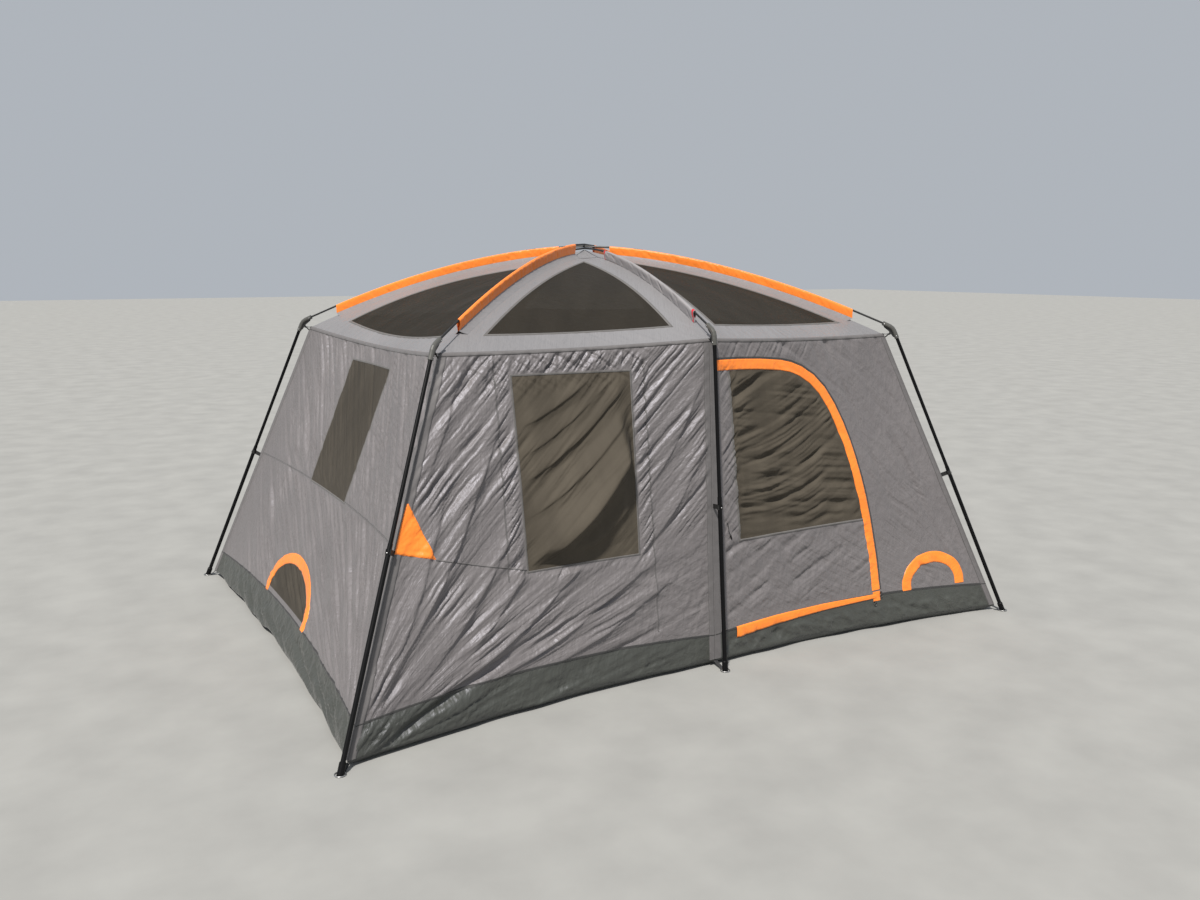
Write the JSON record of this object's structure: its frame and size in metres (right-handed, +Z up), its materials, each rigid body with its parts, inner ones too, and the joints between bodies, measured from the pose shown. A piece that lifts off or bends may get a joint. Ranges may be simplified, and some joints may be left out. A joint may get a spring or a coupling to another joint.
{
  "type": "cabin tent",
  "caption": "Cabin tent with steep walls on telescoping steel legs and arched roof poles, with a D-shaped door, mesh windows, low vents and a tub floor.",
  "frame": {"origin": "on the ground under the middle of the footprint", "axes": "+Z up, +X along the long front, -Y out of the front with the door"},
  "size_m": [4.0818, 3.1704, 2.1823],
  "materials": {
    "roof_fabric": "light grey coated polyester, plain weave",
    "wall_fabric": "warm grey coated polyester, plain weave",
    "tub_fabric": "dark green-grey coated cloth, slight sheen",
    "mesh": "fine black insect mesh",
    "orange_fabric": "orange coated polyester",
    "grey_sleeve": "grey coated polyester",
    "leg_steel": "black powder coat, satin",
    "elbow_steel": "dark grey paint, semi-gloss",
    "pole": "black glass-fibre rod, satin",
    "clip_webbing": "black moulded hook and strap",
    "zip_metal": "dark cast slider with a pull ring"
  },
  "bodies": {
    "root": {"crown_rod_diagonal_left": "pole", "crown_rod_diagonal_right": "pole", "crown_rod_middle": "pole", "roof_rod_front_left": "pole", "roof_rod_front_mid": "pole", "roof_rod_front_right": "pole", "roof_rod_back_right": "pole", "roof_rod_back_mid": "pole", "roof_rod_back_left": "pole", "elbow_front_left": "elbow_steel", "elbow_front_mid": "elbow_steel", "elbow_front_right": "elbow_steel", "elbow_back_right": "elbow_steel", "elbow_back_mid": "elbow_steel", "elbow_back_left": "elbow_steel", "upper_leg_front_left": "leg_steel", "upper_leg_front_mid": "leg_steel", "upper_leg_front_right": "leg_steel", "upper_leg_back_right": "leg_steel", "upper_leg_back_mid": "leg_steel", "upper_leg_back_left": "leg_steel", "leg_clip_front_left": "clip_webbing", "leg_clip_front_mid": "clip_webbing", "leg_clip_front_right": "clip_webbing", "leg_clip_back_right": "clip_webbing", "leg_clip_back_mid": "clip_webbing", "leg_clip_back_left": "clip_webbing", "pole_sleeve_front_left": "orange_fabric", "pole_sleeve_front_mid": "grey_sleeve", "pole_sleeve_front_right": "orange_fabric", "pole_sleeve_back_right": "orange_fabric", "pole_sleeve_back_mid": "grey_sleeve", "pole_sleeve_back_left": "orange_fabric", "roof_front_left": "roof_fabric", "roof_front_right": "roof_fabric", "roof_right_end": "roof_fabric", "roof_back_right": "roof_fabric", "roof_back_left": "roof_fabric", "roof_left_end": "roof_fabric", "wall_front_left": "wall_fabric", "wall_front_right": "wall_fabric", "wall_right_end": "wall_fabric", "wall_back_right": "wall_fabric", "wall_back_left": "wall_fabric", "wall_left_end": "wall_fabric", "front_window": "mesh", "left_window": "mesh", "right_window": "mesh", "left_vent_mesh": "mesh", "floor_tub": "tub_fabric"},
    "leg_front_left": {"lower_leg_front_left": "leg_steel"},
    "leg_front_mid": {"lower_leg_front_mid": "leg_steel"},
    "leg_front_right": {"lower_leg_front_right": "leg_steel"},
    "leg_back_right": {"lower_leg_back_right": "leg_steel"},
    "leg_back_mid": {"lower_leg_back_mid": "leg_steel"},
    "leg_back_left": {"lower_leg_back_left": "leg_steel"},
    "door": {"door_panel": "wall_fabric"},
    "vent_flap": {"vent_flap": "wall_fabric"},
    "slider_side": {"door_slider_side": "zip_metal"},
    "slider_sill": {"door_slider_sill": "zip_metal"}
  },
  "joints": [
    {"name": "telescope_front_left", "type": "slide", "parent": "root", "child": "leg_front_left", "axis": [0.3304, 0.2259, 0.9164], "range_m": [0, 0.45]},
    {"name": "telescope_front_mid", "type": "slide", "parent": "root", "child": "leg_front_mid", "axis": [0, 0.0915, 0.9958], "range_m": [0, 0.45]},
    {"name": "telescope_front_right", "type": "slide", "parent": "root", "child": "leg_front_right", "axis": [-0.3304, 0.2259, 0.9164], "range_m": [0, 0.45]},
    {"name": "telescope_back_right", "type": "slide", "parent": "root", "child": "leg_back_right", "axis": [-0.3304, -0.2259, 0.9164], "range_m": [0, 0.45]},
    {"name": "telescope_back_mid", "type": "slide", "parent": "root", "child": "leg_back_mid", "axis": [0, -0.0915, 0.9958], "range_m": [0, 0.45]},
    {"name": "telescope_back_left", "type": "slide", "parent": "root", "child": "leg_back_left", "axis": [0.3304, -0.2259, 0.9164], "range_m": [0, 0.45]},
    {"name": "door_hinge", "type": "hinge", "parent": "root", "child": "door", "pos_m": [0.063, -1.38418, 0.222], "axis": [0, -0.0717, -0.9974], "range_deg": [0, 95]},
    {"name": "vent_flap_hinge", "type": "hinge", "parent": "root", "child": "vent_flap", "pos_m": [1.375, -1.41966, 0.2228], "axis": [0.9929, -0.1188, 0], "range_deg": [0, 140]},
    {"name": "side_zip", "type": "slide", "parent": "root", "child": "slider_side", "axis": [-0.0008, 0.1403, 0.9901], "range_m": [0, 0.38]},
    {"name": "sill_zip", "type": "slide", "parent": "root", "child": "slider_sill", "axis": [-0.9999, 0.0163, 0.0005], "range_m": [0, 1]}
  ]
}
